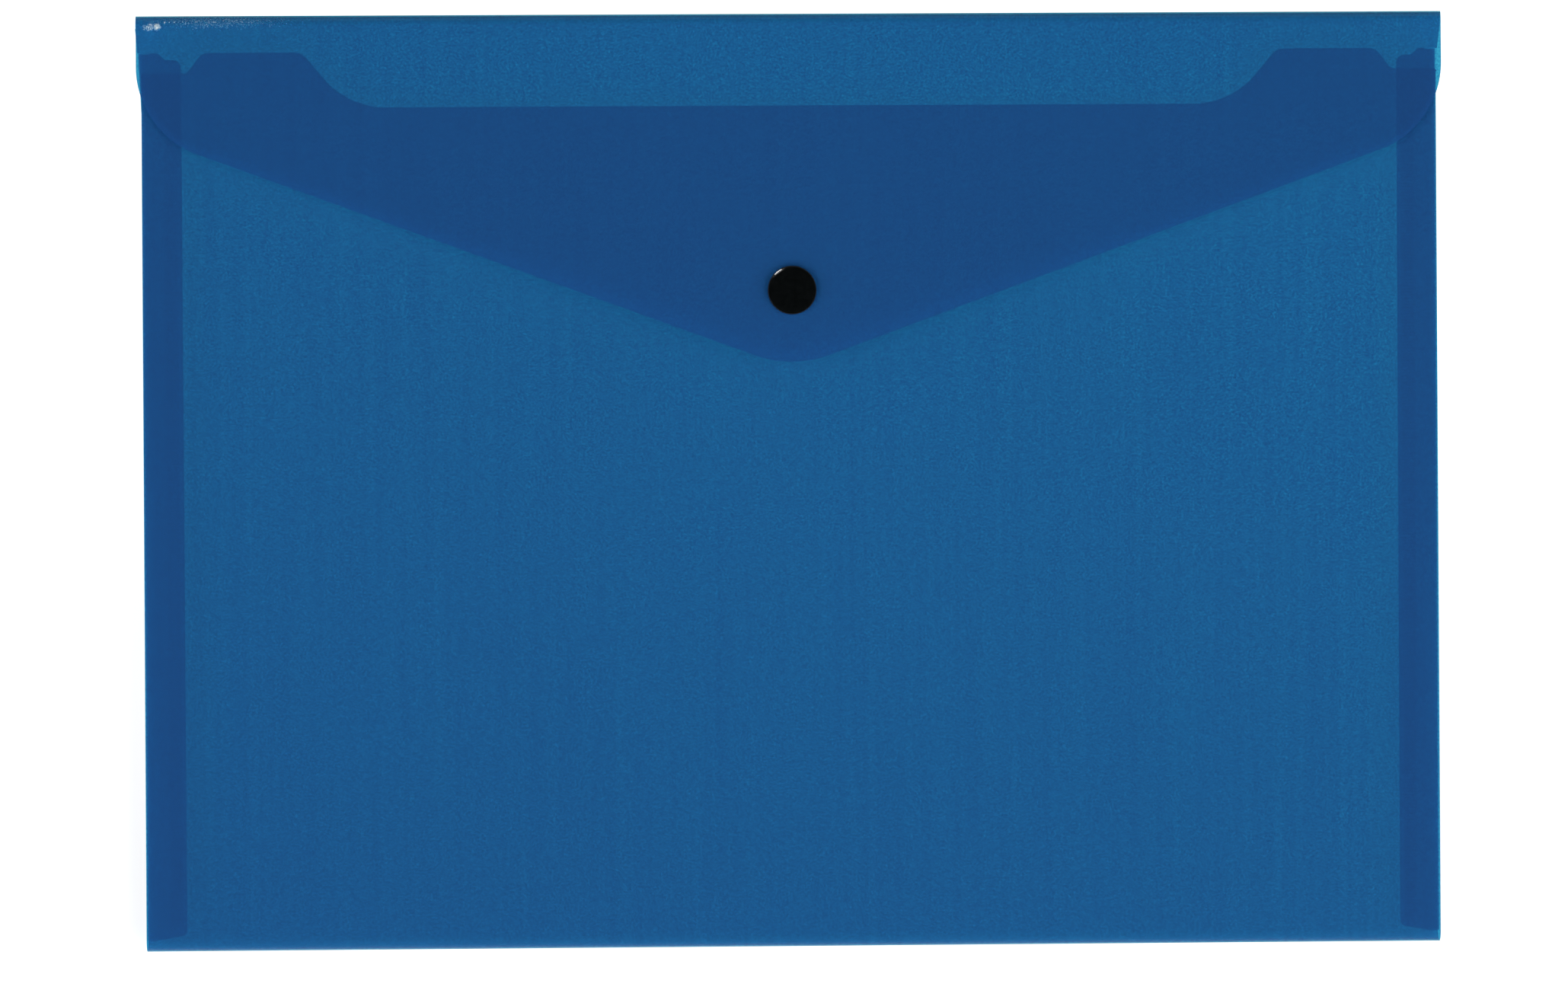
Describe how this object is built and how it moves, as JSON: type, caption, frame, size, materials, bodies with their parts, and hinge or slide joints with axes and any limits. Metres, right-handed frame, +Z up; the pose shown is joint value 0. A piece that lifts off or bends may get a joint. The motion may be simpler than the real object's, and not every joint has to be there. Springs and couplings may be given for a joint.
{
  "type": "document wallet",
  "caption": "Flat landscape document wallet of see-through blue plastic sheet, with a pocket welded at both sides and a wide V-shaped flap that a press stud holds shut.",
  "frame": {"origin": "middle of the underside of the closed wallet, lying on its back panel", "axes": "+X across the wallet, +Y towards the flap's crease, +Z up out of the front"},
  "size_m": [0.335, 0.24, 0.0103],
  "materials": {
    "blue_sheet": "see-through polypropylene with a fine embossed grain",
    "blue_weld": "knurled weld in the same polypropylene",
    "black_snap": "glossy black moulded plastic"
  },
  "bodies": {
    "pocket": {"back_panel": "blue_sheet", "bottom_fold": "blue_sheet", "front_panel": "blue_sheet", "left_side_fold": "blue_sheet", "right_side_fold": "blue_sheet", "left_seam_strip": "blue_sheet", "right_seam_strip": "blue_sheet", "top_fold": "blue_sheet", "left_weld_seam": "blue_weld", "right_weld_seam": "blue_weld", "snap_stud": "black_snap", "snap_stud_cap": "black_snap"},
    "flap": {"closure_flap": "blue_sheet", "snap_cap": "black_snap", "snap_socket": "black_snap"}
  },
  "joints": [
    {"name": "flap_hinge", "type": "hinge", "parent": "pocket", "child": "flap", "pos_m": [0, 0.11985, 0.00295], "axis": [-1, 0, 0], "range_deg": [0, 176], "deforming": ["top_fold"]}
  ]
}
